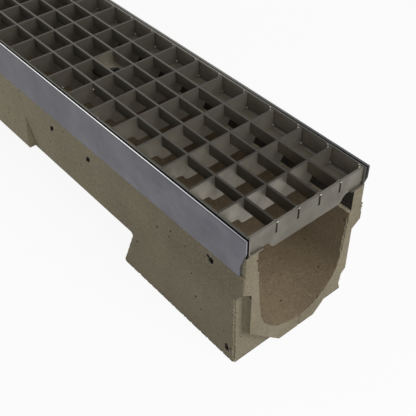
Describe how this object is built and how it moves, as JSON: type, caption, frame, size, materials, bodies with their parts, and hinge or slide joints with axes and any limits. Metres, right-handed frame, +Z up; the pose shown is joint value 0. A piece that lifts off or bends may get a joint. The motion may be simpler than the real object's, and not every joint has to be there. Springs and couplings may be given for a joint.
{
  "type": "channel drain",
  "caption": "Length of trench drain: cast channel with a round invert and a tongue-and-pocket joint, steel edge rails, and a lift-out slotted steel grating.",
  "frame": {"origin": "middle of the footprint, on the ground that the feet stand on", "axes": "+Z up, +Y along the run from the tongue end to the pocket end, +X to the right when looking along +Y"},
  "size_m": [0.141, 1.0084, 0.15],
  "materials": {
    "polymer_concrete": "matte",
    "edge_plate_steel": "satin",
    "seat_angle_steel": "satin",
    "grating_steel": "satin",
    "lock_plate_steel": "satin"
  },
  "bodies": {
    "root": {"channel_body": "polymer_concrete", "left_edge_plate": "edge_plate_steel", "right_edge_plate": "edge_plate_steel", "left_seat_angle": "seat_angle_steel", "right_seat_angle": "seat_angle_steel", "crossbar_01": "grating_steel", "crossbar_02": "grating_steel", "crossbar_03": "grating_steel", "crossbar_04": "grating_steel", "crossbar_05": "grating_steel", "crossbar_06": "grating_steel", "crossbar_07": "grating_steel", "crossbar_08": "grating_steel", "crossbar_09": "grating_steel", "crossbar_10": "grating_steel", "crossbar_11": "grating_steel", "crossbar_12": "grating_steel", "crossbar_13": "grating_steel", "crossbar_14": "grating_steel", "crossbar_15": "grating_steel", "crossbar_16": "grating_steel", "crossbar_17": "grating_steel", "crossbar_18": "grating_steel", "crossbar_19": "grating_steel", "crossbar_20": "grating_steel", "crossbar_21": "grating_steel", "crossbar_22": "grating_steel", "crossbar_23": "grating_steel", "crossbar_24": "grating_steel", "crossbar_25": "grating_steel", "crossbar_26": "grating_steel", "crossbar_27": "grating_steel", "crossbar_28": "grating_steel", "crossbar_29": "grating_steel", "crossbar_30": "grating_steel", "crossbar_31": "grating_steel", "long_bar_1": "grating_steel", "long_bar_2": "grating_steel", "long_bar_3": "grating_steel", "long_bar_4": "grating_steel", "near_lock_plate": "lock_plate_steel", "far_lock_plate": "lock_plate_steel"}
  },
  "joints": []
}
